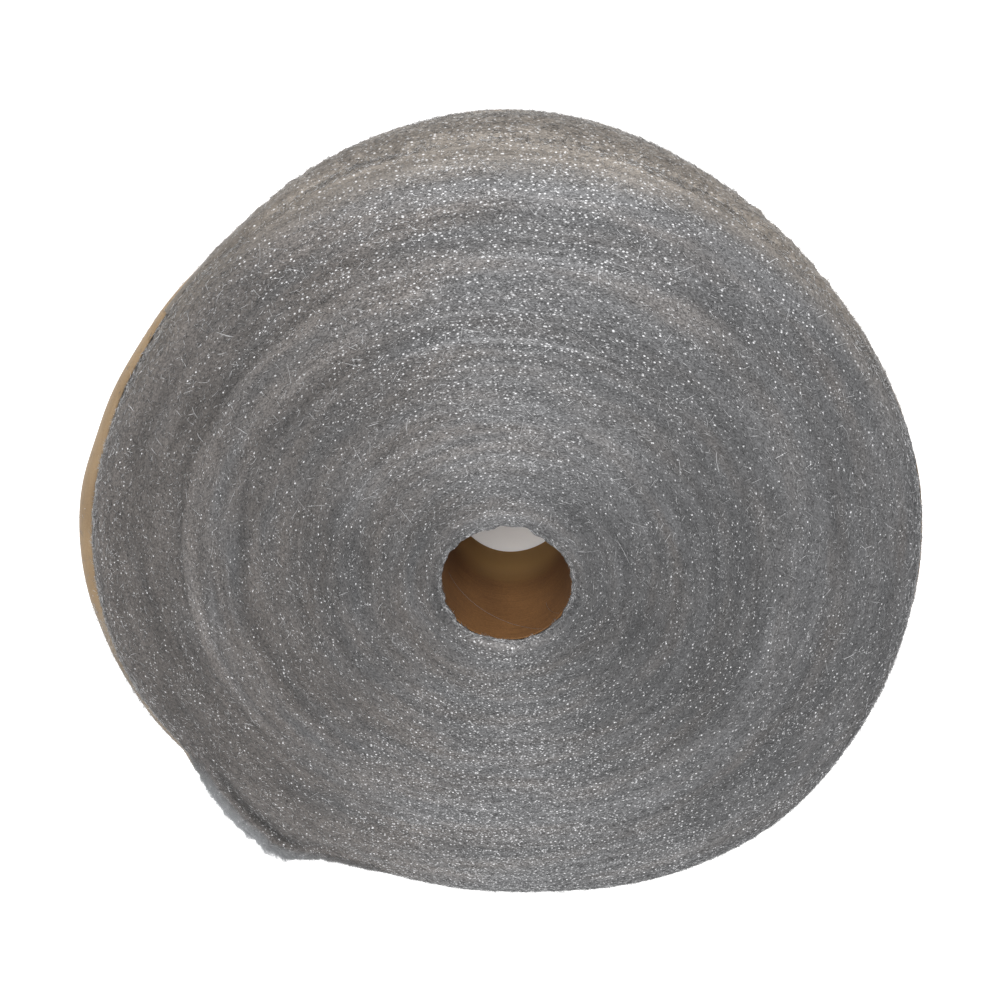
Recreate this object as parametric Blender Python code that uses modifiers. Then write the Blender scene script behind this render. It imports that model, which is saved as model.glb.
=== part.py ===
"""A roll of aluminium wool standing on its end, wrapped in brown kraft paper and lined with it.

Metres, +Z up. The origin is under the middle of the whole outline, on the floor, so the roll's
own axis stands a few millimetres beside it. Angles are counted around that axis from +X towards +Y.
"""

import bmesh
import bpy
import numpy as np
from math import cos, pi, radians, sin
from mathutils import Vector

# Sizes of the wound ribbon
RIBBON_WIDTH = 0.1016
ROLL_RADIUS = 0.2025
BORE_RADIUS = 0.0343
TURNS = 15
STEPS = 54
RIBBON_END_ANGLE = radians(256)
LAST_TURN_GROWTH = 0.0030

# Relief of the two faces
TURN_RELIEF = 0.0012
TURN_RELIEF_CHANGE = 0.35
WANDER = 0.0008
GROOVE_DEPTH = 0.0025
GROOVE_SHARE = 0.22
FRONT_EDGE_DROP = 0.0030
SHOULDER_LUMPS = ((90, 26, 0.0075),)
BACK_EDGE_RISE = 0.0050
BACK_EDGE_INSET = 0.0050

# Height of the upper face over the ribbon width, at shares of the outer radius
FACE_RING_SHARES = (0.16, 0.24, 0.63, 0.68, 0.775, 0.805, 0.94, 1.0)
FACE_RING_HEIGHTS = (0.0008, 0.0, 0.0, 0.0013, 0.0015, -0.0004, -0.0006, -0.0012)

# Lumps of the outer edge: angle in degrees, half width in degrees, height
EDGE_LUMPS = ((92, 20, 0.0060), (175, 17, 0.0045), (257, 9, 0.0025), (262, 38, 0.0065), (309, 19, 0.0116))
CROWN = 0.0015
CROWN_LUMPS = ((86, 23, 0.0048), (186, 28, 0.0036))

# The loose end of the ribbon, outside the last turn
TAIL_FROM = radians(212)
TAIL_PEAK = radians(232)
TAIL_FALL = 2.35
TAIL_HEIGHT = 0.0305
TAIL_SET_BACK = 0.0060

# Paper around the roll
PAPER_GAP = 0.0003
WRAP_THICKNESS = 0.0005
WRAP_FIRST_STEP = 1
WRAP_LAST_STEP = 48
WRAP_FOOT = 0.0040
WRAP_HEIGHT = 0.0945
WRAP_HEIGHT_LUMPS = ((90, 28, -0.0070),)
WRAP_STAND_OFF = 0.0006
WRAP_LUMPS = ((110, 11, 0.0022), (190, 20, 0.0082), (208, 7, 0.0016), (310, 13, 0.0014))
WRAP_CURL = 0.0120
WRAP_CURL_GAP = 0.0012
WRAP_CURL_ROWS = 3
WRAP_WALL_ROWS = 2

# Paper in the bore
LINER_THICKNESS = 0.0010
LINER_RECESS = 0.0030
LINER_FOOT = 0.0008


def lumps(angles, table):
    """Sum of smooth bumps around the roll, each given by angle, half width and height."""
    total = np.zeros_like(angles)
    for centre, half_width, height in table:
        away = (angles - radians(centre) + pi) % (2 * pi) - pi
        total += height * np.exp(-0.5 * (away / radians(half_width)) ** 2)
    return total


def tail(angles):
    """How far the ribbon's loose end stands out of the last turn."""
    turned = angles % (2 * pi)
    rise = np.clip((turned - TAIL_FROM) / (TAIL_PEAK - TAIL_FROM), 0, 1)
    fall = np.clip((RIBBON_END_ANGLE - turned) / (RIBBON_END_ANGLE - TAIL_PEAK), 0, 1)
    return TAIL_HEIGHT * (rise * rise * (3 - 2 * rise)) * fall**TAIL_FALL


def step_angle(steps):
    """Angle of a step counted along the winding, which starts and ends at the ribbon's end."""
    return RIBBON_END_ANGLE + 2 * pi * np.asarray(steps) / STEPS


def body_radius(angles):
    """Outer radius of the roll's upper edge without its last turn's growth and its tail."""
    return ROLL_RADIUS + lumps(angles, EDGE_LUMPS)


def edge_radius(steps):
    """Outer radius of the roll's upper edge around the last turn."""
    share = (np.asarray(steps) % STEPS) / STEPS
    growth = LAST_TURN_GROWTH * share * np.clip((1 - share) * 12, 0, 1)
    angles = step_angle(steps)
    return body_radius(angles) + growth + tail(angles)


def rim_radius(steps):
    """Outer radius halfway up the roll."""
    return edge_radius(steps) + CROWN + lumps(step_angle(steps), CROWN_LUMPS)


def winding_radius(steps):
    """Radius of the line between two turns, from the bore's wall to the outer edge."""
    turn = steps / STEPS
    first = np.sqrt(np.clip(turn - 1, 0, 1))
    along = np.clip(turn - 2, 0, None) + first
    share = np.clip(along / (TURNS - 1), 0, 1)
    body = body_radius(step_angle(steps))
    inner = BORE_RADIUS + (ROLL_RADIUS - BORE_RADIUS) * share + (body - ROLL_RADIUS) * share**3
    return np.where(turn >= TURNS, edge_radius(steps), inner)


def face_height(steps, radius):
    """Height of the upper face, with its raised ring and a slow wander along the turns."""
    share = radius / body_radius(step_angle(steps))
    rings = np.interp(share, FACE_RING_SHARES, FACE_RING_HEIGHTS)
    turn = steps / STEPS
    wander = np.sin(2 * step_angle(steps) + 1.9 * turn) * np.sin(turn * 2.3)
    ends = np.clip(TURNS - turn, 0, 1) * np.clip(turn - 1, 0, 1)
    return RIBBON_WIDTH + rings + WANDER * wander * ends


def ring_points(radius, angles, height):
    """Points on the roll at a radius, an angle and a height."""
    height = np.broadcast_to(height, np.shape(radius))
    return np.stack([radius * np.cos(angles), radius * np.sin(angles), height], axis=1)


def strip(first, second, count):
    """Faces between two lines of points that are numbered alike."""
    return [(first + i, first + i + 1, second + i + 1, second + i) for i in range(count)]


def new_object(name, points, faces, material, collection):
    """A mesh object with merged points and faces that look outward."""
    mesh = bpy.data.meshes.new(name)
    mesh.from_pydata([tuple(p) for p in points], [], faces)
    shape = bmesh.new()
    shape.from_mesh(mesh)
    bmesh.ops.remove_doubles(shape, verts=shape.verts, dist=0.00003)
    bmesh.ops.recalc_face_normals(shape, faces=shape.faces)
    shape.to_mesh(mesh)
    shape.free()
    mesh.materials.append(material)
    made = bpy.data.objects.new(name, mesh)
    collection.objects.link(made)
    return made


def new_material(name, colour, roughness, metallic):
    """A plain material."""
    made = bpy.data.materials.new(name)
    made.use_nodes = True
    shader = made.node_tree.nodes["Principled BSDF"]
    shader.inputs["Base Color"].default_value = (*colour, 1)
    shader.inputs["Roughness"].default_value = roughness
    shader.inputs["Metallic"].default_value = metallic
    return made


class Lines:
    """Numbered lines of points, and the faces between them."""

    def __init__(self):
        self.points = []
        self.faces = []
        self.count = 0

    def add(self, points):
        """Adds a line and gives the number of its first point."""
        start = self.count
        self.points.extend(points)
        self.count += len(points)
        return start

    def join(self, first, second, count):
        """Adds the faces between two lines."""
        self.faces.extend(strip(first, second, count))


def upper_face(lines):
    """The upper face: a line in each valley between turns and one on each crest."""
    steps = np.arange((TURNS + 1) * STEPS + 1)
    angles = step_angle(steps)
    radius = winding_radius(steps)
    depth = TURN_RELIEF * (1 + TURN_RELIEF_CHANGE * np.sin(1.3 * angles + 0.7))
    shoulder = FRONT_EDGE_DROP + lumps(angles, SHOULDER_LUMPS)
    shoulder = shoulder + TAIL_SET_BACK * tail(angles) / TAIL_HEIGHT
    rim = np.where(steps >= TURNS * STEPS, shoulder, depth)
    rim = np.where(steps <= STEPS, 0.5 * TURN_RELIEF, rim)
    valley = lines.add(ring_points(radius, angles, face_height(steps, radius) - rim))
    crest_steps = steps[: TURNS * STEPS + 1]
    crest_radius = (radius[: TURNS * STEPS + 1] + radius[STEPS:]) / 2
    height = face_height(crest_steps, crest_radius)
    last = np.clip(crest_steps / STEPS - TURNS + 1, 0, 1)
    height = height - TAIL_SET_BACK * last * tail(angles[: TURNS * STEPS + 1]) / TAIL_HEIGHT
    closed = np.clip((radius[STEPS:] - radius[: TURNS * STEPS + 1]) / TURN_RELIEF, 0, 1)
    sunk = (1 - closed) * rim[: TURNS * STEPS + 1]
    crest = lines.add(ring_points(crest_radius, angles[: TURNS * STEPS + 1], height - sunk))
    lines.join(valley, crest, TURNS * STEPS)
    lines.join(crest, valley + STEPS, TURNS * STEPS)
    return valley


def lower_face(lines):
    """The lower face: flat lands that the roll stands on, with a groove between turns."""
    steps = np.arange((TURNS + 1) * STEPS + 1)
    angles = step_angle(steps)
    radius = winding_radius(steps)
    height = np.where(steps >= TURNS * STEPS, BACK_EDGE_RISE, GROOVE_DEPTH)
    groove = lines.add(ring_points(radius, angles, height))
    count = TURNS * STEPS + 1
    inner = radius[:count]
    thick = radius[STEPS:] - inner
    last = np.clip(steps[:count] / STEPS - TURNS + 1, 0, 1) > 0
    inset = np.where(last, np.clip(BACK_EDGE_INSET, 0, thick * 0.45), GROOVE_SHARE * thick)
    land_in = lines.add(ring_points(inner + GROOVE_SHARE * thick, angles[:count], 0.0))
    land_out = lines.add(ring_points(radius[STEPS:] - inset, angles[:count], 0.0))
    lines.join(groove, land_in, TURNS * STEPS)
    lines.join(land_in, land_out, TURNS * STEPS)
    lines.join(land_out, groove + STEPS, TURNS * STEPS)
    return groove


def outer_wall(lines, upper, lower):
    """The crowned rim between the outer edges of the two faces."""
    steps = np.arange(TURNS * STEPS, (TURNS + 1) * STEPS + 1)
    edge = edge_radius(steps)
    bulge = rim_radius(steps) - edge
    above = upper + TURNS * STEPS
    for share, swell in ((0.80, 0.82), (0.50, 1.0), (0.20, 0.82)):
        row = lines.add(ring_points(edge + swell * bulge, step_angle(steps), share * RIBBON_WIDTH))
        lines.join(above, row, STEPS)
        above = row
    lines.join(above, lower + TURNS * STEPS, STEPS)


def wound_wool(material, collection):
    """The wound ribbon with all its turns, one solid."""
    lines = Lines()
    upper = upper_face(lines)
    lower = lower_face(lines)
    outer_wall(lines, upper, lower)
    lines.join(upper, lower, STEPS)
    return new_object("wound_wool", lines.points, lines.faces, material, collection)


def kraft_wrap(material, collection):
    """The outer paper: a sheet bent around the roll, open at the ribbon's end.

    Its upper edge curls in over the roll's shoulder along a quarter of an oval.
    """
    steps = np.arange(WRAP_FIRST_STEP, WRAP_LAST_STEP + 1)
    angles = step_angle(steps)
    radius = rim_radius(steps) + PAPER_GAP + WRAP_STAND_OFF + lumps(angles, WRAP_LUMPS)
    curled = edge_radius(steps) + PAPER_GAP + WRAP_CURL_GAP
    top = WRAP_HEIGHT + lumps(angles, WRAP_HEIGHT_LUMPS)
    lines = Lines()
    rows = []
    for row in range(WRAP_WALL_ROWS):
        height = WRAP_FOOT + (top - WRAP_CURL - WRAP_FOOT) * row / WRAP_WALL_ROWS
        rows.append(lines.add(ring_points(radius, angles, height)))
    for row in range(WRAP_CURL_ROWS + 1):
        turned = row / WRAP_CURL_ROWS * pi / 2
        inward = curled + (radius - curled) * cos(turned)
        rows.append(lines.add(ring_points(inward, angles, top - WRAP_CURL * (1 - sin(turned)))))
    for below, above in zip(rows, rows[1:]):
        lines.join(below, above, len(steps) - 1)
    sheet = new_object("kraft_wrap", lines.points, lines.faces, material, collection)
    if sheet.data.polygons[0].normal.dot(sheet.data.polygons[0].center) < 0:
        sheet.data.flip_normals()
    solid = sheet.modifiers.new("thickness", "SOLIDIFY")
    solid.thickness = WRAP_THICKNESS
    solid.offset = 1
    solid.use_even_offset = True
    return sheet


def kraft_liner(material, collection):
    """The paper tube in the bore, turned from its wall's section."""
    outer = BORE_RADIUS - PAPER_GAP
    inner = outer - LINER_THICKNESS
    top = RIBBON_WIDTH - LINER_RECESS
    corners = ((inner, LINER_FOOT), (inner, top), (outer, top), (outer, LINER_FOOT))
    turned = (cos(RIBBON_END_ANGLE), sin(RIBBON_END_ANGLE))
    mesh = bpy.data.meshes.new("kraft_liner")
    points = [(r * turned[0], r * turned[1], z) for r, z in corners]
    mesh.from_pydata(points, [(0, 1), (1, 2), (2, 3), (3, 0)], [])
    mesh.materials.append(material)
    tube = bpy.data.objects.new("kraft_liner", mesh)
    collection.objects.link(tube)
    turn = tube.modifiers.new("turn", "SCREW")
    turn.angle = 2 * pi
    turn.steps = STEPS
    turn.render_steps = STEPS
    turn.use_merge_vertices = True
    turn.merge_threshold = 0.00005
    turn.use_normal_calculate = True
    turn.use_normal_flip = True
    return tube


def centre(collection):
    """Moves the pieces together until the middle of their outline is over the origin."""
    graph = bpy.context.evaluated_depsgraph_get()
    corners = [Vector(c) for made in collection.objects for c in made.evaluated_get(graph).bound_box]
    for made in collection.objects:
        made.location.x = -(min(c.x for c in corners) + max(c.x for c in corners)) / 2
        made.location.y = -(min(c.y for c in corners) + max(c.y for c in corners)) / 2


def main():
    """Clears the file and builds the roll."""
    for thing in list(bpy.data.objects):
        bpy.data.objects.remove(thing)
    roll = bpy.data.collections.new("aluminum_wool_roll")
    bpy.context.scene.collection.children.link(roll)
    wool = new_material("aluminium_wool", (0.22, 0.22, 0.23), 0.45, 0.7)
    wrap = new_material("brown_kraft_wrap", (0.36, 0.24, 0.14), 0.75, 0.0)
    liner = new_material("brown_kraft_liner", (0.16, 0.08, 0.03), 0.7, 0.0)
    wound_wool(wool, roll)
    kraft_wrap(wrap, roll)
    kraft_liner(liner, roll)
    centre(roll)


main()
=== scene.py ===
"""A roll of aluminium wool that stands on its end.

Metal strands are wound around a bore, with brown kraft paper around the outside and in the bore.
"""

from math import pi, radians

import bpy
import numpy as np
from mathutils import Matrix, Vector
from numpy.random import default_rng

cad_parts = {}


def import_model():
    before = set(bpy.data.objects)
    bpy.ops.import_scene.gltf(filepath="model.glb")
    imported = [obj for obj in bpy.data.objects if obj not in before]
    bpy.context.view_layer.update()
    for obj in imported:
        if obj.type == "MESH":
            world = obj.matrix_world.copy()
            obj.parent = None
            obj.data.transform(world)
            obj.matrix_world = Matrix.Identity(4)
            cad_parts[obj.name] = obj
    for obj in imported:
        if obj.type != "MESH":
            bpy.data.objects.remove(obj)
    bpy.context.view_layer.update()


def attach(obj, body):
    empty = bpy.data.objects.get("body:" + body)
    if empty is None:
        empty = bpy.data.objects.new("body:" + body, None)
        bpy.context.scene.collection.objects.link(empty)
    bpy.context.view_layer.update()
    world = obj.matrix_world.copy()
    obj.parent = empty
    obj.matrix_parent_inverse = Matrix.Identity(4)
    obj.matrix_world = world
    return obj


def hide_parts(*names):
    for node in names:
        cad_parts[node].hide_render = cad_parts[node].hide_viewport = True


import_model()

# The roll's sizes in metres and radians, mostly those of its solids. A lump is a centre and a half
# width in degrees, and a height.
AXIS_X, AXIS_Y = 0.008503, -0.001928
WIDTH = 0.1016
ROLL_RADIUS = 0.2025
BORE_RADIUS = 0.0343
TURNS = 15
RIBBON_END = radians(256)
LAST_TURN_GROWTH, GROWTH_FADE = 0.0030, 12
EDGE_LUMPS = (
    (43, 13, -0.0022), (124, 6, -0.0012), (92, 20, 0.0060), (175, 17, 0.0045), (198, 10, 0.0040),
    (257, 9, 0.0025), (262, 38, 0.0065), (309, 19, 0.0116), (150, 11, -0.0025), (166, 8, -0.0013),
)
CROWN = 0.0015
CROWN_LUMPS = ((86, 23, 0.0048), (186, 28, 0.0036))
SHOULDER_LUMPS = ((90, 26, 0.0075),)
CORNER, OVERHANG = 0.0065, 0.0010
LIP, LIP_CHANGE = 0.0015, 0.0007

# The loose end
TAIL_FROM, TAIL_PEAK, TAIL_RISE, TAIL_FALL = radians(212), radians(232.6), 1.1, 2.6
TAIL_HEIGHT, TAIL_SET_BACK = 0.0282, 0.0048
TAIL_LUMPS = ((220.5, 3.5, 0.0023), (231.8, 2.4, -0.0046), (236, 1.8, 0.0033))
CREASE_INSET, CREASE_DEPTH = 0.0122, 0.0016

# The outer paper, and the rim's bare stretch, which begins and ends across a pair of angles
PAPER_GAP, WRAP_STAND_OFF = 0.0003, 0.0006
WRAP_THICKNESS = 0.0005
WRAP_LUMPS = (
    (110, 11, 0.0014), (190, 20, 0.0082), (198, 10, -0.0040), (208, 7, 0.0016), (310, 13, 0.0014),
    (150, 11, 0.0021), (166, 8, 0.0010), (191, 6, -0.0012),
)
WRAP_HEIGHT, WRAP_FOOT = 0.0945, 0.0040
WRAP_HEIGHT_LUMPS = ((90, 28, -0.0070),)
WRAP_CURL, WRAP_CURL_GAP = 0.0120, 0.0012
WRAP_ENDS = (radians(262.667), radians(576))
BARE_FROM, BARE_TO = (radians(213), radians(219)), (radians(258), radians(265))

# The bore's paper, and two fibres on it that face a point on the axis. Each has an angle in degrees
# and a height for its start, its bend and its end.
LINER_RECESS, LINER_FOOT, LINER_THICKNESS = 0.0030, 0.0008, 0.0010
LINER_INNER = BORE_RADIUS - PAPER_GAP - LINER_THICKNESS
FIBRES = (((193, 0.073), (240, 0.063), (313, 0.103)), ((310, 0.074), (311, 0.086), (328, 0.098)))
AXIS_POINT = np.array([AXIS_X, AXIS_Y, 0.085])

# Heights of the faces' relief: the wide rings, what each turn has, and how the faces end
RING, RING_STEP, HUB_RISE = 0.0014, 0.0018, 0.0008
VALLEY, PLY, RIDGE, SLOW_WAVE = 0.0003, 0.0001, 0.0001, 0.00022
EDGE_DROP, MOUTH_DROP = 0.0012, 0.0022
GROOVE, LOWER_ROUGH, LOWER_MOUTH_RISE = 0.0020, 0.0003, 0.0015

# The rim: shares of the way down it, where the seam lies, and its bulge
SHOULDER_END, TUCK_END, SIDE_FROM, SIDE_TO = 0.18, 0.21, 0.3, 0.7
SEAM_RISE, TUCK_OUT, TUCK_DROP = 0.0014, 0.0002, 0.0004
SIDE_SWELL, SIDE_TOP, SIDE_FOOT = 0.82, 0.80, 0.20
SHOULDER_OVAL, FOOT_OVAL = 0.8, 0.74
RIM_ROUGH, TAIL_ROUGH = 0.0004, 0.0008

# Points of the wool's surface: around, across the upper face, down the rim, across the lower face
WOOL_AROUND, WOOL_ACROSS, WOOL_DOWN, WOOL_BACK = 370, 168, 34, 50

# Strands: points and sides of a short one, radii, and what turns lengths into angles and shares
POINTS, SIDES = 3, 3
STRAND_RADIUS, FINE_RADIUS, COARSE_RADIUS, RADIUS_CHANGE = 0.00007, 0.00006, 0.00009, 0.00006
RIM_RADIUS, PAPER_RADIUS, TAIL_RADIUS = 0.205, 0.21, 0.22
RIM_LENGTH, CURL_LENGTH = 0.14, 0.020

# Colours of the materials: red, green, blue and alpha
GRAIN = ((0.07, 0.0695, 0.0695, 1), (0.34, 0.337, 0.337, 1))
COOL, WARM, BROWNISH = (0.985, 0.995, 1.02, 1), (1.065, 0.98, 0.925, 1), (1.11, 0.985, 0.85, 1)
TUFT = ((0.27, 0.282, 0.299, 1), (0.56, 0.581, 0.607, 1))
# The colour of painted glints, and the grey of dull strands
GLINT, DULL_STRAND = (0.97, 0.97, 0.985, 1), (0.125, 0.124, 0.124, 1)
DUST = ((0.16, 0.138, 0.112, 1), (0.36, 0.318, 0.270, 1))
OUTER_PAPER = ((0.235, 0.158, 0.086, 1), (0.375, 0.263, 0.152, 1))
# The bore's kraft paper, painted darker as shade
SHADED_BORE_PAPER = ((0.122, 0.052, 0.0155, 1), (0.288, 0.139, 0.045, 1))
# The colour of painted light near the floor on the bore's paper, and the floor's colour
PAINTED_FLOOR_LIGHT_COLOUR, FLOOR = (0.48, 0.29, 0.105, 1), (0.85, 0.85, 0.85, 1)

# For the materials: the upper face's radius in millimetres, and the wool's overall tone
FACE_RADIUS, WOOL_TONE = 205.0, 0.77

# The view of the photo, relative to the roll's axis on the floor
CAMERA_PLACE = (0.01126, 0.23476, 0.51424)
CAMERA_FORWARD = (-0.031289, -0.413028, -0.910181)
CAMERA_RIGHT = (0.999410, 0.0, -0.034356)
LENS, SENSOR = 33.84, 36

# The surround's strength where it isn't seen, the lamps' names, places, sizes and powers, the floor
SURROUND = 0.272
LAMPS = (
    ("window", (0.05, 1.5, 1.8), 1.2, 39.5),
    ("low_window", (0.1, -2.0, 1.0), 1.2, 13.2),
    ("room", (-0.5, 0.6, 2.2), 1.4, 9.4),
)
FLOOR_SIZE, FLOOR_BELOW = 30, 0.0002


def lumps(angle, table):
    """Sum of a table's bell-shaped bumps around the roll."""
    total = np.zeros_like(angle)
    for centre, half_width, height in table:
        away = (angle - radians(centre) + pi) % (2 * pi) - pi
        total = total + height * np.exp(-0.5 * (away / radians(half_width)) ** 2)
    return total


def ramp(value, low, high):
    """0 at low, 1 at high, an even rise between them and level beyond."""
    return np.clip((value - low) / (high - low), 0, 1)


def smooth(value, low, high):
    """0 below low, 1 above high, and a smooth step between them."""
    share = ramp(value, low, high)
    return share * share * (3 - 2 * share)


def bell(away, half_width):
    """1 where away is 0, falling to 0 like a bell on both sides."""
    return np.exp(-((away / half_width) ** 2))


def tail_share(angle):
    """0 to 1: how far the loose end stands out. A nearly even rise, then a hollow fall."""
    turned = angle % (2 * pi)
    rise, fall = ramp(turned, TAIL_FROM, TAIL_PEAK), ramp(turned, RIBBON_END, TAIL_PEAK)
    return rise**TAIL_RISE * fall**TAIL_FALL


def wound(angle):
    """Share of a whole turn between the ribbon's end and an angle, 0 to 1."""
    return ((angle - RIBBON_END) / (2 * pi)) % 1.0


def body_radius(angle):
    """Outer radius of the upper edge: a circle with its lumps."""
    return ROLL_RADIUS + lumps(angle, EDGE_LUMPS)


def edge_radius(angle):
    """Outer radius with the last turn's growth and the loose end, whose peak its lumps round off."""
    share = wound(angle)
    growth = LAST_TURN_GROWTH * share * np.clip((1 - share) * GROWTH_FADE, 0, 1)
    return body_radius(angle) + growth + TAIL_HEIGHT * tail_share(angle) + lumps(angle, TAIL_LUMPS)


def bulge(angle):
    """How much wider the roll is halfway up than at its edges."""
    return CROWN + lumps(angle, CROWN_LUMPS)


def waves(angle, across, rng, count, around, length):
    """Sum of sine waves that close around the roll, mostly between -1 and 1.

    Each has a whole number of periods around the roll up to `around`, and a period across it
    between the two numbers of `length`.
    """
    total = 0
    for _ in range(count):
        periods = rng.integers(-around, around + 1)
        pitch = length[0] * (length[1] / length[0]) ** rng.random()
        total = total + np.sin(periods * angle + 2 * pi * across / pitch + 2 * pi * rng.random())
    return total / np.sqrt(count)


def turn_phase(radius, angle):
    """0 to 1 across each turn of the spiral, from the valley on its inner side to the next."""
    share = (radius - BORE_RADIUS) / (body_radius(angle) - BORE_RADIUS)
    return (1 + share * (TURNS - 1) - wound(angle)) % 1.0


def rings(share, angle):
    """Height of the upper face's wide rings at a share of its radius.

    The raised ring and its step are strongest on the roll's -X and +X sides.
    """
    raised = RING * smooth(share, 0.620, 0.690) - RING_STEP * smooth(share, 0.772, 0.806)
    return raised * (0.25 + 0.75 * np.cos(angle) ** 2) + HUB_RISE * (1 - smooth(share, 0.16, 0.25))


def upper_height(radius, angle):
    """Height of the upper face: the ribbon's width, the wide rings, and the relief of the turns.

    The valleys between turns, and the line where a turn's plies meet, come and go along them. Towards
    the edge, the loose end and the bore the face rounds down.
    """
    share = radius / body_radius(angle)
    phase = turn_phase(radius, angle)
    change = waves(angle, radius, default_rng(5), 6, 3, (0.05, 0.12))
    valley = bell(np.minimum(phase, 1 - phase), 0.09) * np.clip(0.9 + 0.5 * change, 0.2, 1.6)
    ply = bell(phase - 0.52, 0.08) * np.clip(0.5 + 0.6 * change, 0, 1.2)
    ridges = waves(angle, radius, default_rng(8), 30, 6, (0.0030, 0.011))
    slow = waves(angle, radius, default_rng(9), 8, 4, (0.03, 0.09))
    height = WIDTH + rings(share, angle) - VALLEY * valley - PLY * ply
    height = height + RIDGE * ridges + SLOW_WAVE * slow
    body, edge, loose = body_radius(angle), edge_radius(angle), tail_share(angle)
    crease = bell(edge - radius - CREASE_INSET, 0.0050) * smooth(loose, 0.1, 0.5)
    outside = smooth(radius, body - 0.010, body + 0.018) * smooth(loose, 0.0, 0.4)
    near_edge = smooth(radius, edge - 0.026, edge - 0.002)
    height = height - lumps(angle, SHOULDER_LUMPS) * near_edge - EDGE_DROP * near_edge
    height = height - TAIL_SET_BACK * outside - CREASE_DEPTH * crease
    return height - MOUTH_DROP * (1 - smooth(radius, BORE_RADIUS, BORE_RADIUS + 0.0045))


def lower_height(radius, angle):
    """Height of the lower face: level lands, finely ridged, with a groove between turns."""
    phase = turn_phase(radius, angle)
    groove = bell(np.minimum(phase, 1 - phase), 0.10)
    ridges = waves(angle, radius, default_rng(11), 20, 6, (0.0035, 0.011))
    rough = LOWER_ROUGH * (1 + np.clip(ridges, -1, 1)) / 2
    mouth = 1 - smooth(radius, BORE_RADIUS, BORE_RADIUS + 0.003)
    return GROOVE * groove + rough + LOWER_MOUTH_RISE * mouth


def covered(angle):
    """1 where the outer paper goes around the rim, 0 at the ribbon's loose end."""
    turned = angle % (2 * pi)
    return 1 - smooth(turned, *BARE_FROM) * (1 - smooth(turned, *BARE_TO))


def paper_top(angle):
    """Height of the outer paper's upper edge."""
    return WRAP_HEIGHT + lumps(angle, WRAP_HEIGHT_LUMPS)


def seam_height(angle):
    """Height at which the wool's shoulder ends, just above the outer paper."""
    return paper_top(angle) + SEAM_RISE


def overhang(angle):
    """How far the shoulder hangs over the rim, less at the loose end."""
    return OVERHANG * (0.3 + 0.7 * covered(angle))


def rim_point(down, angle):
    """Radius and height on the rim, from the upper face's end at down 0 to the lower face's end at 1.

    The shoulder is a quarter of a full oval that hangs a little over the paper's edge and then turns
    in under itself. Below it the rim bulges like an arc, and another quarter oval ends it.
    """
    edge = edge_radius(angle)
    swell = bulge(angle)
    top, foot = upper_height(edge - CORNER, angle), lower_height(edge - CORNER, angle)
    hang, seam = overhang(angle), seam_height(angle)
    side, arch = edge + SIDE_SWELL * swell, (1 - SIDE_SWELL) * swell
    turned = ramp(down, 0, SHOULDER_END) * pi / 2
    radius = edge - CORNER + (CORNER + hang) * np.sin(turned) ** SHOULDER_OVAL
    height = seam + (top - seam) * np.cos(turned) ** SHOULDER_OVAL
    under = ramp(down, SHOULDER_END, TUCK_END)
    fall = ramp(down, TUCK_END, SIDE_FROM)
    middle = ramp(down, SIDE_FROM, SIDE_TO)
    last = ramp(down, 1, SIDE_TO) * pi / 2
    inwards = (side - edge + CORNER) * (1 - np.sin(last) ** FOOT_OVAL)
    downwards = (foot - SIDE_FOOT * WIDTH) * np.cos(last) ** FOOT_OVAL
    tuck, drop = edge + TUCK_OUT, SIDE_TOP * WIDTH - seam + TUCK_DROP
    level = WIDTH * (SIDE_TOP - (SIDE_TOP - SIDE_FOOT) * middle)
    for start, part_radius, part_height in (
        (SHOULDER_END, edge + hang + (TUCK_OUT - hang) * under, seam - TUCK_DROP * under),
        (TUCK_END, tuck + (SIDE_SWELL * swell - TUCK_OUT) * fall, seam - TUCK_DROP + drop * fall),
        (SIDE_FROM, side + arch * np.sin(pi * middle), level),
        (SIDE_TO, side - inwards, SIDE_FOOT * WIDTH + downwards),
    ):
        radius = np.where(down > start, part_radius, radius)
        height = np.where(down > start, part_height, height)
    rough = RIM_ROUGH * waves(angle, height, default_rng(21), 24, 14, (0.004, 0.02))
    ragged = TAIL_ROUGH * waves(angle, height, default_rng(22), 24, 170, (0.006, 0.02))
    rough = rough + ragged * smooth(tail_share(angle), 0.1, 0.5)
    free = smooth(down, 0.0, 0.05) * (1 - smooth(down, 0.14, SHOULDER_END))
    free = free + 0.6 * smooth(down, 0.32, 0.5) * (1 - covered(angle))
    return radius + rough * free * (1 - smooth(down, 0.9, 1.0)), height


def loose_mark(radius, angle):
    """1 at the loose end's pale outer edge, -1 in the crease beside it, which gets painted shade, and 0
    away from both.
    """
    inset = edge_radius(angle) - radius
    ended = smooth(angle % (2 * pi), radians(233), radians(243))
    end = smooth(tail_share(angle), 0.02, 0.35) * (1 - ended)
    tuft = 1 - smooth(inset, -0.003, CREASE_INSET)
    crease = bell(inset - CREASE_INSET, 0.0060)
    return end * np.where(inset < CREASE_INSET, tuft - crease * (1 - tuft), -crease)


def place(radius, angle, height):
    """Points in the row frame from a radius, an angle and a height around the roll's axis."""
    x, y = AXIS_X + radius * np.cos(angle), AXIS_Y + radius * np.sin(angle)
    return np.stack(np.broadcast_arrays(x, y, height), axis=-1)


def put(name, data):
    """A new object in the scene."""
    made = bpy.data.objects.new(name, data)
    bpy.context.scene.collection.objects.link(made)
    return made


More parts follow.
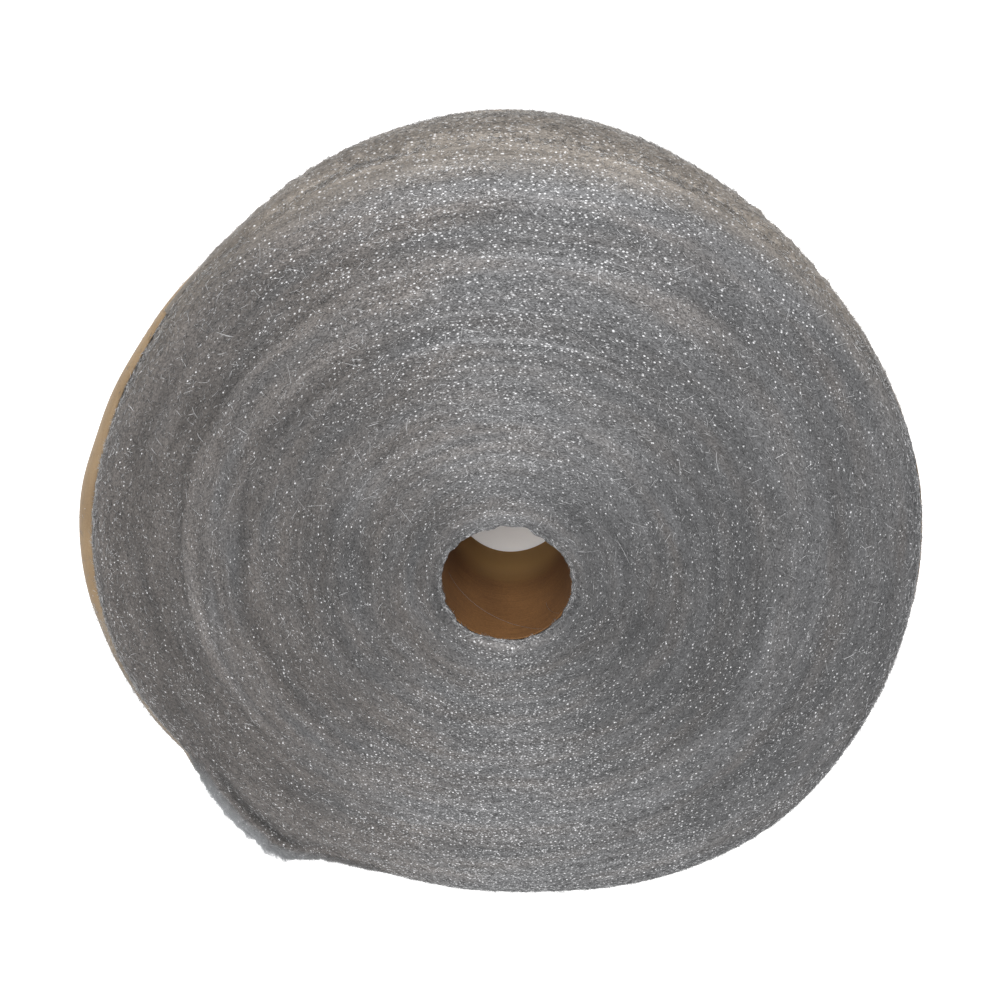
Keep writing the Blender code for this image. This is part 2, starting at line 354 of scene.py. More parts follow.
def mesh_piece(name, points, faces, material, slot, node=None):
    """A shown piece from arrays of points and of faces with three or four corners."""
    mesh = bpy.data.meshes.new(name)
    points = np.asarray(points, dtype=np.float32).reshape(-1, 3)
    mesh.from_pydata(points, [], faces, shade_flat=False)
    mesh.materials.append(material)
    made = put(name, mesh)
    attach(made, "root")
    if node:
        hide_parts(node)
    if slot == "wool":
        x, y = points[:, 0] - AXIS_X, points[:, 1] - AXIS_Y
        attribute(made, "loose", loose_mark(np.hypot(x, y), np.arctan2(y, x)))
    return made


def attribute(made, name, values):
    """A number at each point of a piece, which its material reads."""
    layer = made.data.attributes.new(name, "FLOAT", "POINT")
    layer.data.foreach_set("value", np.asarray(values, dtype=np.float32).ravel())


def closed_grid(rows, columns):
    """Faces of a grid that closes on itself both ways, rows running along the first axis."""
    grid = np.arange(rows * columns).reshape(rows, columns)
    ahead = np.roll(grid, -1, axis=0)
    corners = [grid, np.roll(grid, -1, axis=1), np.roll(ahead, -1, axis=1), ahead]
    return np.stack(corners, axis=-1).reshape(-1, 4)


def mouth_radius(angle):
    """Radius of the wool's uneven lip, which hangs over the end of the bore's paper."""
    rng = default_rng(17)
    uneven = waves(angle, 0, rng, 7, 9, (1, 2)) + 0.6 * waves(angle, 0, rng, 7, 30, (1, 2))
    return BORE_RADIUS - LIP - LIP_CHANGE * np.clip(uneven, -1.6, 1.6)


def wool_body(material):
    """The wound wool: one section line around the ribbon's four sides, turned around the axis.

    The section's radius and height change with the angle, as the functions above say. In the bore
    it goes up the ribbon's edge and then leans in to the lip.
    """
    angle = np.linspace(0, 2 * pi, WOOL_AROUND, endpoint=False)
    across = np.linspace(0, 1, WOOL_ACROSS)[:, None]
    outer = edge_radius(angle) - CORNER
    mouth = mouth_radius(angle)
    radius = mouth + (outer - mouth) * across
    upper = place(radius, angle, upper_height(radius, angle))
    down = np.linspace(0, 1, WOOL_DOWN)[1:-1, None]
    rim_radius, rim_height = rim_point(down, angle)
    rim = place(rim_radius, angle, rim_height)
    back = BORE_RADIUS + (outer - BORE_RADIUS) * np.linspace(1, 0, WOOL_BACK)[:, None]
    lower = place(back, angle, lower_height(back, angle))
    foot = lower_height(BORE_RADIUS, angle)
    top = WIDTH - LINER_RECESS + PAPER_GAP
    rise = np.array([0.15, 0.4, 0.65, 0.85, 1.0])[:, None]
    wall = place(BORE_RADIUS, angle, foot + (top - foot) * rise)
    lean = np.array([0.55, 0.9])[:, None]
    under = top + (upper_height(mouth, angle) - top) * np.array([0.15, 0.55])[:, None]
    lip = place(BORE_RADIUS + (mouth - BORE_RADIUS) * lean, angle, under)
    points = np.concatenate([upper, rim, lower, wall, lip])
    faces = closed_grid(*points.shape[:2])[:, ::-1]
    mesh_piece("wool_body", points, faces, material, "wool", "wound_wool")


def operator(operation):
    """The two methods behind one of Python's operators, which add a Math node."""
    return (
        lambda self, other: self.net.maths(operation, self, other),
        lambda self, other: self.net.maths(operation, other, self),
    )


class Number:
    """A node's output that Python's arithmetic works on."""

    def __init__(self, net, socket):
        self.net, self.socket = net, socket

    __add__, __radd__ = operator("ADD")
    __sub__, __rsub__ = operator("SUBTRACT")
    __mul__, __rmul__ = operator("MULTIPLY")
    __truediv__, __rtruediv__ = operator("DIVIDE")

    def __neg__(self):
        return 0.0 - self


class Net:
    """The nodes of a material or of the world."""

    def __init__(self, owner):
        self.owner, self.tree = owner, owner.node_tree

    def node(self, kind, settings=None, inputs=None, output=0):
        """Adds a shader node, sets its properties and inputs, and gives one of its outputs."""
        made = self.tree.nodes.new("ShaderNode" + kind)
        for name, value in (settings or {}).items():
            setattr(made, name, value)
        for name, value in (inputs or {}).items():
            self.feed(made.inputs[name], value)
        return Number(self, made.outputs[output])

    def feed(self, socket, value):
        """Links or sets one input."""
        if isinstance(value, Number):
            self.tree.links.new(value.socket, socket)
        else:
            socket.default_value = value

    def maths(self, operation, first, second=0.0):
        """A Math node."""
        return self.node("Math", {"operation": operation}, {0: first, 1: second})

    def vector(self, x, y, z):
        """A vector from three numbers."""
        return self.node("CombineXYZ", None, {0: x, 1: y, 2: z})

    def grey(self, level):
        """A grey, or white at a level of 1."""
        return self.node("CombineColor", None, {0: level, 1: level, 2: level})

    def attribute(self, name):
        """A number stored at the points of the mesh."""
        return self.node("Attribute", {"attribute_name": name}, output=2)

    def cells(self, x, y, z, size):
        """A place counted in cells of that size."""
        return self.vector(x / size, y / size, z / size)

    def step(self, value, low, high):
        """A smooth step from 0 at low to 1 at high."""
        inputs = {"Value": value, "From Min": low, "From Max": high}
        return self.node("MapRange", {"interpolation_type": "SMOOTHSTEP"}, inputs)

    def band(self, value, low, rise, fall, high):
        """1 between rise and fall, 0 outside low and high, with smooth steps between."""
        return self.step(value, low, rise) * (1.0 - self.step(value, fall, high))

    def mix(self, factor, first, second, blend="MIX"):
        """A mix of two colours."""
        settings = {"data_type": "RGBA", "blend_type": blend}
        return self.node("Mix", settings, {0: factor, 6: first, 7: second}, 2)

    def bump(self, height, distance, strength):
        """A normal bent by a height."""
        inputs = {"Height": height, "Distance": distance, "Strength": strength}
        return self.node("Bump", None, inputs)

    def noise(self, vector, detail=2.0, rough=0.5):
        """Noise between 0 and 1 whose cells are about one unit of the vector."""
        inputs = {"Vector": vector, "Scale": 1.0, "Detail": detail, "Roughness": rough}
        return self.node("TexNoise", None, inputs)

    def around(self):
        """X and Y from the roll's axis, Z, and the distance from the axis, in millimetres.

        `across` is that distance less Z, a little wobbly, so it grows across the turns on every side.
        """
        place = self.node("TexCoord", output=3)
        parts = self.tree.nodes.new("ShaderNodeSeparateXYZ")
        self.tree.links.new(place.socket, parts.inputs[0])
        x, y, z = (Number(self, parts.outputs[i]) * 1000.0 for i in range(3))
        x = x - AXIS_X * 1000
        y = y - AXIS_Y * 1000
        radius = self.maths("SQRT", x * x + y * y)
        wobble = self.noise(self.cells(x, y, z, 9.0), 1.0)
        self.across = radius - z + (wobble - 0.5) * 3.0
        return x, y, z, radius

    def finish(self, **inputs):
        """Sets or links the shader's inputs, given with _ for spaces, and gives the material."""
        shader = self.tree.nodes["Principled BSDF"]
        for name, value in inputs.items():
            self.feed(shader.inputs[name.replace("_", " ")], value)
        return self.owner


def new_material(name):
    """The nodes of a new material."""
    made = bpy.data.materials.new(name)
    made.use_nodes = True
    return Net(made)


def streaks(net, around, length, width, seed, detail=2.0):
    """Noise drawn out along the turns, in cells of that length and width in millimetres."""
    x, y = around[:2]
    return net.noise(net.vector(x / length + seed * 7.0, y / length, net.across / width), detail)


def painted_highlight_mask(around):
    """0 to 1: where a painted highlight goes, most on the roll's +Y and -Y sides, where the turns run
    across the light.
    """
    up = around[1] / around[3]
    return up * up * up * up


def wool_colour(net, around, base):
    """The wool's colour, from the grey of its grain.

    It is lighter in the raised ring, with a painted highlight on the roll's +Y and -Y sides, painted
    light towards +Y, painted shade and a painted highlight at the raised ring's steps, and a painted
    highlight above the bore. It is browner on its -X side and at its +Y edge, and uneven all over. The
    loose end is paler and bluer at its edge, with painted shade in the crease beside it.
    """
    x, y, z, radius = around
    step, share = net.step, radius / FACE_RADIUS
    patch = streaks(net, around, 60.0, 10.0, 4.0, 1.0)
    blot = net.noise(net.cells(x, y, z, 34.0), 2.0)
    band = streaks(net, around, 70.0, 7.0, 6.0, 1.0)
    outer = step(share, 0.72, 0.90)
    left = step(-x, -60.0, 150.0)
    far = step(y, 60.0, 150.0) * step(share, 0.93, 1.01)
    side = step(-x, 60.0, 190.0) * (0.35 + 0.65 * step(y, -110.0, -10.0))
    warm = outer * 0.25 * left + left * 0.50 + (patch - 0.5) * 1.5 + 0.18
    tint = net.mix(far, net.mix(step(warm, 0.0, 1.0), COOL, WARM), BROWNISH)
    ring = net.band(share, 0.640, 0.690, 0.775, 0.805)
    # Painted shade along the raised ring's inner step, and a painted highlight with painted shade beyond
    # it along its outer step, mostly on the roll's -X side
    line = net.band(share, 0.632, 0.655, 0.660, 0.690) * step(y - x * 0.6, -60.0, 40.0)
    bright = net.band(share, 0.758, 0.782, 0.789, 0.797) * side
    shade_line = net.band(share, 0.790, 0.800, 0.806, 0.835) * side
    fringe = step(share, 0.965, 1.0) * side
    # A painted highlight above the bore, on the roll's +Y side
    arc = net.band(share, 0.22, 0.36, 0.38, 0.56) * step(y, 10.0, 60.0)
    loose = net.attribute("loose")
    crease = net.maths("MAXIMUM", -loose, 0.0)
    tuft = net.maths("MAXIMUM", loose, 0.0) * step(z, 45.0, 80.0)
    right = step(x, 60.0, 190.0)
    # Painted highlight on the roll's +Y and -Y sides, and painted light that is stronger towards +Y,
    # stronger on the +X+Y and -X-Y quarters and weaker on the other two
    level = 0.632 + painted_highlight_mask(around) * 0.275 + y / radius * 0.045 + x / radius * (y / radius) * 0.11
    level = level + outer * right * 0.07
    level = level + ring * (0.17 + right * 0.07) - line * 0.12 + bright * 0.30 - shade_line * 0.10
    level = level + (blot - 0.5) * 0.30 + (band - 0.5) * 0.55 + (patch - 0.5) * 0.25
    level = level + fringe * 0.22 + arc * 0.19 + far * (0.13 + 0.18 * step(x, 10.0, 100.0))
    # Painted shade in the crease beside the loose end
    level = level - crease * 0.50
    # Lighter and darker patches on only some sides and corners of the roll
    east, west = step(x, 20.0, 110.0), step(-x, 20.0, 110.0)
    north, south = step(y, 20.0, 110.0), step(-y, 20.0, 110.0)
    level = level - step(share, 0.50, 0.60) * step(y, 40.0, 140.0) * 0.06
    level = level - step(x, 10.0, 80.0) * (1.0 - step(share, 0.50, 0.66)) * 0.04
    level = level + step(share, 0.88, 0.97) * south * east * 0.08
    level = level + outer * north * east * 0.11
    level = level + step(share, 0.88, 0.98) * north * west * 0.16
    inner = step(share, 0.30, 0.50) * step(-y, 20.0, 90.0) * step(-x, 20.0, 90.0)
    level = (level - inner * 0.04) * WOOL_TONE
    colour = net.mix(1.0, net.mix(1.0, base, tint, "MULTIPLY"), net.grey(level), "MULTIPLY")
    return net.mix(tuft * 0.85, colour, net.mix(band, *TUFT))


def painted_glint_specks(net, around, length, width, size, share):
    """Small painted glints drawn out along the turns, one in a share of the cells of that size.

    Lengths are in millimetres, size is a share of the cell. The value is 0 outside the glints.
    """
    x, y, z, radius = around
    where = {"Vector": net.vector(x / length, y / length, (radius - z) / width), "Scale": 1.0}
    near = net.node("TexVoronoi", {"feature": "F1"}, where, "Distance")
    pick = Number(net, near.socket.node.outputs["Color"])
    red = net.node("SeparateColor", None, {0: pick}, 0)
    green = net.node("SeparateColor", None, {0: pick}, 1)
    chosen = net.step(red, 1.0 - share, 1.001 - share)
    return (1.0 - net.step(near, size * 0.6, size)) * chosen * (0.45 + 0.55 * green)


def wool_material():
    """Wound strands as a surface: fine grain, streaks along the turns and small painted glints.

    The painted glints are densest on the roll's -Y and +Y sides, where the turns run across the light,
    and sparse at its -X corners.
    """
    net = new_material("wool surface")
    around = net.around()
    x, y, _, radius = around
    step = net.step
    coarse = streaks(net, around, 30.0, 3.0, 1.0)
    middle = streaks(net, around, 4.0, 1.3, 2.0)
    fine = streaks(net, around, 1.1, 0.62, 3.0, 3.0)
    rows = streaks(net, around, 45.0, 5.0, 9.0, 1.0)
    # Painted highlight on the +Y and -Y sides: there the grain has more contrast and the painted glints
    # are denser
    painted_highlight = painted_highlight_mask(around)
    far = step(y, 60.0, 150.0) * step(radius, 194.0, 206.0)
    strong = 1.95 + 0.55 * painted_highlight - 1.3 * far
    grey = (coarse - 0.5) * 0.5 + (middle - 0.5) * 0.4 + (fine - 0.5) * strong + 0.5
    base = net.mix(step(grey, -0.15, 1.15), *GRAIN)
    slant = x * y / (radius * radius)
    corner = slant * slant * 4.0
    south = step(-y, -20.0, 120.0)
    size = 0.25 + 0.05 * south
    wide = size + 0.05 * step(y, 10.0, 140.0)
    quiet = step(-x, 20.0, 110.0) * step(net.maths("ABSOLUTE", y), 20.0, 110.0)
    small_share = 0.15 + 0.48 * painted_highlight - 0.08 * corner - 0.05 * quiet + (coarse + rows - 1.0) * 1.4
    small = painted_glint_specks(net, around, 1.5, 1.0, size, small_share)
    large_share = 0.28 + 0.56 * painted_highlight + 0.10 * south - 0.15 * corner - 0.16 * quiet
    large_share = large_share + (middle + rows - 1.0) * 0.9 + step(x, 60.0, 150.0) * 0.05
    large = painted_glint_specks(net, around, 2.3, 1.7, wide, large_share)
    # Painted glints: white where the small and large glints lie, fewer at the +Y edge
    painted_glint = net.maths("MAXIMUM", small * 0.7, large) * (1.0 - 0.3 * far)
    return net.finish(
        Base_Color=net.mix(painted_glint, wool_colour(net, around, base), GLINT),
        Metallic=0.35 - 0.3 * painted_glint,
        Roughness=0.5,
        Normal=net.bump(fine * 0.6 + middle * 0.8 + coarse * 0.5, 0.0006, 0.45),
    )


def strand_material():
    """Single strands: each has its own tone, from dull grey to bright, the bright tones being painted
    glints.
    """
    net = new_material("wool strands")
    around = net.around()
    tone = net.attribute("tone")
    colour = net.mix(tone, wool_colour(net, around, DULL_STRAND), GLINT)
    return net.finish(Base_Color=colour, Metallic=0.45 - 0.3 * tone, Roughness=0.4)


def paper_material(name, dark, light, roughness, dusted=0.0, painted_floor_light=0.0):
    """Brown kraft paper: fine pulp grain, faint lines along it and soft folds.

    Where it is dusted, wool dust greys its curl on the roll's +Y side and beside the loose end, and
    in patches its wall on the +Y side. Where painted floor light is given, it is painted lighter and
    warmer near the floor.
    """
    net = new_material(name)
    x, y, z, _ = net.around()
    step = net.step
    pulp = net.noise(net.cells(x, y, z, 0.9), 3.0, 0.6)
    lines = net.noise(net.vector(x / 14.0, y / 14.0, z / 0.8), 2.0)
    folds = net.noise(net.vector(x / 30.0, y / 30.0, z / 60.0), 1.0)
    factor = (pulp - 0.5) * 0.8 + (lines - 0.5) * 0.5 + (folds - 0.5) * 0.8 + 0.5
    base = net.mix(step(factor, 0.0, 1.0), dark, light)
    if dusted:
        patchy = net.noise(net.cells(x, y, z, 22.0), 3.0, 0.6) - 0.5
        low = step(y + patchy * 70.0, 110.0, 190.0) * 130.0
        north = step(y + net.maths("MINIMUM", x, 0.0) * 0.8 + patchy * 50.0, 50.0, 100.0)
        south = step(-y, 8.0, 40.0) * step(-x, 60.0, 120.0) * 0.75
        grey = net.maths("MAXIMUM", north, south) * step(z, 82.0 - low, 88.0 - low * 0.5) * dusted
        thin = step(patchy, 0.0, 0.3) * step(82.0 - z, 0.0, 20.0) * 0.6
        base = net.mix(grey * (1.0 - thin), base, net.mix(step(pulp + patchy, 0.25, 0.75), *DUST))
    # Painted light: the bore's paper is lighter and warmer near the floor
    if painted_floor_light:
        base = net.mix((1.0 - step(z, 18.0, 46.0)) * painted_floor_light, base, PAINTED_FLOOR_LIGHT_COLOUR)
    bump = net.bump(pulp * 0.15 + lines * 0.1 + folds * 1.5, 0.001, 0.4)
    return net.finish(Base_Color=base, Roughness=roughness + (pulp - 0.5) * 0.2, Normal=bump)


def tubes(name, paths, thick, out, tone, material):
    """Thin strands as closed three-sided spindles.

    paths is an array of strands by points by 3. Each strand is a triangle of radius `thick` carried
    along its path, and closes to a point at both ends. `out` is the direction away from the wool
    at each strand, and `tone` the brightness of its points.
    """
    count = len(paths)
    along = np.gradient(paths, axis=1)
    along /= np.linalg.norm(along, axis=2, keepdims=True) + 1e-12
    side = np.cross(along, out[:, None, :])
    side /= np.linalg.norm(side, axis=2, keepdims=True) + 1e-12
    up = np.cross(side, along)
    turn = pi / 2 + np.arange(SIDES) * 2 * pi / SIDES
    corner = side[:, 1:-1, None] * np.cos(turn)[:, None] + up[:, 1:-1, None] * np.sin(turn)[:, None]
    middle = paths[:, 1:-1, None] + corner * thick[:, None, None, None]
    points = np.concatenate([paths[:, :1], middle.reshape(count, -1, 3), paths[:, -1:]], axis=1)
    size = points.shape[1]
    last = size - 1 - SIDES
    pairs = [(k, (k + 1) % SIDES) for k in range(SIDES)]
    faces = [(0, 1 + b, 1 + a) for a, b in pairs]
    for low in range(1, last, SIDES):
        faces += [(low + a, low + b, low + SIDES + b) for a, b in pairs]
        faces += [(low + a, low + SIDES + b, low + SIDES + a) for a, b in pairs]
    faces += [(last + a, last + b, size - 1) for a, b in pairs]
    faces = np.array(faces) + (np.arange(count) * size)[:, None, None]
    made = mesh_piece(name, points, faces.reshape(-1, 3), material, "wool")
    between = np.repeat(tone[:, 1:-1], SIDES, axis=1)
    attribute(made, "tone", np.concatenate([tone[:, :1], between, tone[:, -1:]], axis=1))


def strand_tones(rng, count, bright, points=POINTS):
    """Brightness along strands: mostly dull, a share of them bright as painted glints, and some with a
    white painted glint at one point.
    """
    dull = 0.05 + 0.24 * rng.random((count, 1))
    painted_glint = 0.45 + 0.55 * rng.random((count, 1))
    tone = np.where(rng.random((count, 1)) < bright, painted_glint, dull)
    spot = np.arange(points) == rng.integers(0, points, (count, 1))
    glint = rng.random((count, 1)) < bright * 1.5
    return np.where(spot & glint, 1.0, tone)


def run_along(rng, count, length, stray, points=POINTS):
    """Shapes of strands in their own plane: the way along a turn and the way across it.

    Each is an arc that leans away from the turn's direction by a random angle. A few curl.
    """
    share = np.linspace(-0.5, 0.5, points)
    size = length * np.exp(0.45 * rng.standard_normal((count, 1)))
    lean = stray * rng.standard_normal((count, 1))
    wild = rng.random((count, 1)) < 0.14
    lean = np.where(wild, lean * 3.5, lean)
    curve = rng.standard_normal((count, 1)) * np.where(wild, 1.0, 0.35)
    way = share * size
    along = way * np.cos(lean)
    across = way * np.sin(lean) + curve * size * (share**2 - 0.08)
    return along, across


def thickness(rng, count, least=STRAND_RADIUS):
    """Radii of strands."""
    return least + RADIUS_CHANGE * rng.random(count)


def outward(angle, up=0.0, across=1.0):
    """Directions away from the wool, from how much they point up and away from the roll's axis."""
    return np.concatenate([across * np.cos(angle), across * np.sin(angle), 0 * angle + up], axis=1)


def free_end(rng, count):
    """0 at one end of each strand and 1 at the other, either way round."""
    share = np.linspace(0, 1, POINTS)
    return np.where(rng.random((count, 1)) < 0.5, share, 1 - share)


def spread_out(rng, angle, least, inset):
    """Radii that spread strands evenly over a face, from the least to an inset from its edge."""
    limit = edge_radius(angle) - inset
    return np.sqrt(least**2 + (limit**2 - least**2) * rng.random(angle.shape))


def upper_strands(
    name, seed, count, material, points=POINTS,
    length=0.0024, stray=0.5, lift=0.00025, bright=0.12, spread=None,
):
    """Strands that lie on the upper face, along the turns. Their ends dip into it.

    Where a spread is given, in degrees, they crowd around the roll's +Y side.
    """
    rng = default_rng(seed)
    angle = rng.random((count, 1)) * 2 * pi
    if spread:
        angle = radians(90) + radians(spread) * rng.standard_normal((count, 1))
    radius = spread_out(rng, angle, 0.0345, 0.002)
    along, across = run_along(rng, count, length, stray, points)
    path_radius = np.clip(radius + across, BORE_RADIUS - 0.001, None)
    path_angle = angle + along / path_radius
    path_radius = np.minimum(path_radius, edge_radius(path_angle) + 0.0005)
    share = np.linspace(-1, 1, points)
    rise = lift * rng.random((count, 1)) ** 1.5 * (1 - 1.3 * share**2) + 0.00008
    height = upper_height(np.minimum(path_radius, edge_radius(path_angle) - CORNER), path_angle) + rise
    beyond = np.clip(path_radius - edge_radius(path_angle) + CORNER, 0, None)
    paths = place(path_radius, path_angle, height - 60.0 * beyond**2)
    tone = strand_tones(rng, count, bright, points)
    tubes(name, paths, thickness(rng, count), outward(angle, 1.0, 0.0), tone, material)


def lower_strands(seed, count, material):
    """Strands on the lower face, pressed flat."""
    rng = default_rng(seed)
    angle = rng.random((count, 1)) * 2 * pi
    radius = spread_out(rng, angle, 0.035, 0.004)
    along, across = run_along(rng, count, 0.007, 0.15)
    path_radius = np.clip(radius + across, BORE_RADIUS, None)
    path_angle = angle + along / path_radius
    path_radius = np.minimum(path_radius, edge_radius(path_angle) - CORNER)
    paths = place(path_radius, path_angle, lower_height(path_radius, path_angle) - 0.00008)
    out = outward(angle, -1.0, 0.0)
    tubes("lower_strands", paths, thickness(rng, count), out, strand_tones(rng, count, 0.13), material)


def rim_strands(name, seed, count, material, low, high, off, arc=(0, 360)):
    """Strands on the rim between two shares of the way down it, an end of each up to `off` off it."""
    rng = default_rng(seed)
    angle = np.radians(arc[0] + rng.random((count, 1)) * (arc[1] - arc[0]))
    down = low + (high - low) * rng.random((count, 1))
    along, across = run_along(rng, count, 0.0036, 0.45)
    path_angle = angle + along / RIM_RADIUS
    radius, height = rim_point(down + across / RIM_LENGTH, path_angle)
    share = free_end(rng, count)
    stand = off * (rng.random((count, 1)) ** 2.2) * share**1.6 + 0.0001
    paths = place(radius + stand, path_angle, height + stand * 0.4 * (down < SIDE_FROM))
    tubes(name, paths, thickness(rng, count), outward(angle), strand_tones(rng, count, 0.16), material)


def spill_share(angle):
    """0 to 1: how much wool lies over the outer paper's curled edge, most on the roll's +Y side."""
    away = np.abs((angle - radians(80) + pi) % (2 * pi) - pi)
    return 1 - smooth(away, radians(37), radians(57))


def curl_end(angle):
    """Inner radius of the outer paper's curled edge."""
    return edge_radius(angle) + PAPER_GAP + WRAP_CURL_GAP


def curl_point(way, angle, off):
    """A point off the outer paper's outside: its curl for a way of 0 to 1, its wall up to 3.4."""
    turned = np.clip(way, 0, 1) * pi / 2
    curled = curl_end(angle)
    radius = curled + (wrap_radius(angle) + WRAP_THICKNESS + 0.0001 - curled) * np.sin(turned)
    height = paper_top(angle) + 0.0008 - WRAP_CURL * (1 - np.cos(turned))
    height = height - 0.030 * np.clip(way - 1, 0, 2.4)
    return radius + off * np.sin(turned), height + off * np.cos(turned)


def shoulder_height(radius, angle):
    """Height of the upper face and, beyond its end, of the shoulder's quarter oval."""
    edge = edge_radius(angle)
    top = upper_height(np.minimum(radius, edge - CORNER), angle)
    seam = seam_height(angle)
    out = np.clip((radius - edge + CORNER) / (CORNER + overhang(angle)), 0, 1) ** 1.25
    return seam + (top - seam) * (1 - out**2) ** 0.4


def spill_line(way, angle, thick):
    """A point on the spilled wool: on the shoulder for a way of -1 to 0, then as in curl_point.

    On the shoulder it lies just above the wool, and sinks into it where little is spilled.
    """
    curled, drop = curl_point(np.maximum(way, 0), angle, thick)
    start = edge_radius(angle) - 0.0140
    share = np.clip(way + 1, 0, 1)
    radius = np.where(way < 0, start + (curled - start) * share, curled)
    lift = 0.0006 * smooth(share, 0, 0.4) * spill_share(angle) - 0.0003
    over = shoulder_height(radius, angle) + lift
    near = smooth(radius, edge_radius(angle) - 0.0020, curled)
    return radius, np.where(way < 0, over + (drop - over) * near, drop)


def spill_thickness(way, angle):
    """How thick the spilled wool is: most where it starts on the curl, and uneven all along."""
    share = spill_share(angle)
    curled = np.clip(way, 0, 1)
    uneven = 1 + 0.5 * waves(angle, way * 0.02, default_rng(51), 24, 150, (0.006, 0.03))
    end = 1 - smooth(way, 0.95, 1.25)
    return 0.0002 + share * (0.0009 * end * np.clip(uneven, 0.2, 2) + 0.0020 * (1 - curled) ** 3)


def spill(material):
    """Wool spilled over the outer paper's curled edge: a layer with a closed section.

    It starts in the upper face, goes over the shoulder and the curl, and ends in a thin edge.
    """
    angle = np.linspace(radians(20), radians(139), 300)[:, None]
    share = spill_share(angle)
    way = np.concatenate([np.linspace(-1, 0, 13), np.linspace(0, 1, 12)[1:]])
    uneven = waves(angle, 0, default_rng(52), 9, 60, (1, 2))
    reach = 0.35 + 0.90 * share * (1 + 0.08 * uneven)
    way = np.where(way > 0, way * reach, way)
    top_radius, top_height = spill_line(way, angle, spill_thickness(way, angle))
    low_radius, low_height = spill_line(way, angle, 0.0003)
    low_height = low_height - 0.0025 * smooth(-way, 0.0, 0.3)
    inside, outside = place(low_radius, angle, low_height), place(top_radius, angle, top_height)
    bent_sheet("spill", np.concatenate([inside, outside[:, ::-1]], axis=1), material, "wool")


def spill_strands(name, seed, count, material, middle, spread, bright, ways=(-0.85, 1.65)):
    """Strands on the spilled wool and the paper below it, crowded around an angle in degrees.

    They lie at ways between the two given, counted as in spill_line.
    """
    rng = default_rng(seed)
    angle = radians(middle) + radians(spread) * rng.standard_normal((count, 1))
    way = ways[0] + (ways[1] - ways[0]) * rng.random((count, 1))
    along, across = run_along(rng, count, 0.0026, 0.7)
    path_angle = angle + along / PAPER_RADIUS
    share = free_end(rng, count)
    way = way + across / CURL_LENGTH
    off = spill_thickness(way, path_angle) + 0.0018 * rng.random((count, 1)) ** 1.5 * share**1.5
    radius, height = spill_line(way, path_angle, off)
    tone = 0.04 + 0.8 * strand_tones(rng, count, bright)
    thick = thickness(rng, count, FINE_RADIUS)
    tubes(name, place(radius, path_angle, height), thick, outward(angle, 0.5), tone, material)


def seam_strands(seed, count, material):
    """Strands that fill the gap between the wool's shoulder and the outer paper's curled edge."""
    rng = default_rng(seed)
    angle = WRAP_ENDS[0] + (WRAP_ENDS[1] - WRAP_ENDS[0]) * rng.random((count, 1))
    along, across = run_along(rng, count, 0.0036, 0.35)
    path_angle = angle + along / PAPER_RADIUS
    depth = rng.random((count, 1))
    radius = edge_radius(path_angle) + 0.0004 + 0.0017 * rng.random((count, 1)) + 0.4 * across
    height = paper_top(path_angle) + 0.0018 - 0.0030 * depth + 0.3 * across
    tone = 0.06 + strand_tones(rng, count, 0.10)
    thick = thickness(rng, count, COARSE_RADIUS)
    paths = place(radius, path_angle, height)
    tubes("seam_strands", paths, thick, outward(angle, 1.0, 0.4), tone, material)


def edge_fuzz(seed, count, material):
    """Short hairs that stand out of the shoulder all the way round and soften the outline."""
    rng = default_rng(seed)
    angle = 2 * pi * rng.random((count, 1))
    share = np.linspace(0, 1, POINTS)
    clump = np.clip(0.8 + 0.7 * waves(angle, 0, rng, 10, 120, (1, 2)), 0.2, 2)
    reach = 0.0004 + 0.0017 * clump * rng.random((count, 1)) ** 2
    lean = rng.standard_normal((count, 1)) * 0.9
    down = 0.07 + 0.115 * rng.random((count, 1)) + 0 * share
    radius, height = rim_point(down, angle)
    path_angle = angle + reach * lean * share / RIM_RADIUS
    rise = rng.standard_normal((count, 1)) * 0.3
    paths = place(radius - 0.0003 + reach * share, path_angle, height + reach * share * (0.25 + rise))
    thick = thickness(rng, count, FINE_RADIUS)
    tone = 0.22 + strand_tones(rng, count, 0.10)
    tubes("edge_fuzz", paths, thick, outward(angle, 1.0, 0.0), tone, material)


def tail_strands(seed, count, material):
    """The fluffy loose end: short pale strands at every lean, in a soft layer on its outer edge."""
    rng = default_rng(seed)
    angle = radians(213) + radians(36) * rng.random((count, 1)) ** 0.9
    along, across = run_along(rng, count, 0.0034, 0.9)
    path_angle = angle + along / TAIL_RADIUS
    share = tail_share(path_angle)
    low = rng.random((count, 1)) ** 0.8
    radius, height = rim_point(0.26 * low + 0 * along, path_angle)
    end = np.linspace(0, 1, POINTS)
    clump = np.clip(0.7 + 0.9 * waves(path_angle, 0, rng, 10, 220, (1, 2)), 0.1, 2)
    fluff = 0.0002 + 0.0036 * share**0.5 * clump * rng.random((count, 1)) ** 2 * (0.3 + 0.7 * end)
    radius = radius + fluff * np.sqrt(low) + across * 0.5
    paths = place(radius, path_angle, height + fluff * 0.4 + across * 0.5)
    tone = 0.10 + (0.22 + 0.6 * strand_tones(rng, count, 0.06)) * low
    tubes("tail_strands", paths, thickness(rng, count), outward(angle, 0.6), tone, material)


